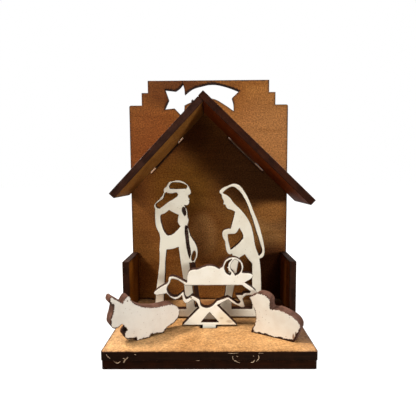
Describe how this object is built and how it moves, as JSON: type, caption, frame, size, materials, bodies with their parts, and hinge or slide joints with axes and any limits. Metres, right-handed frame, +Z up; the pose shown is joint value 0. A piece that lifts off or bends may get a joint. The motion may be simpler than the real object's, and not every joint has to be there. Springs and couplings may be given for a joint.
{
  "type": "nativity stable ornament",
  "caption": "Slot-together board stable with a gabled roof, a comet cut in the back panel, flat figures on one sheet, a child in a manger, a lying cow and a lying sheep.",
  "frame": {"origin": "centre of the base's underside", "axes": "+X to the viewer's right, +Y from the open front to the back panel, +Z up"},
  "size_m": [0.0871, 0.06, 0.1164],
  "materials": {
    "base_board": "warm tan stain with dark burnt edges, satin",
    "stained_board": "dark brown stain over fibreboard, near-black burnt edges, satin",
    "painted_board": "cream paint on the front, brown burnt edges, matt"
  },
  "bodies": {
    "root": {"base_lower": "base_board", "base_upper": "base_board", "back_panel": "stained_board", "roof_left": "stained_board", "roof_right": "stained_board", "side_wall_left": "stained_board", "side_wall_right": "stained_board", "couple": "painted_board", "manger": "painted_board", "cow": "painted_board", "sheep": "painted_board"}
  },
  "joints": []
}
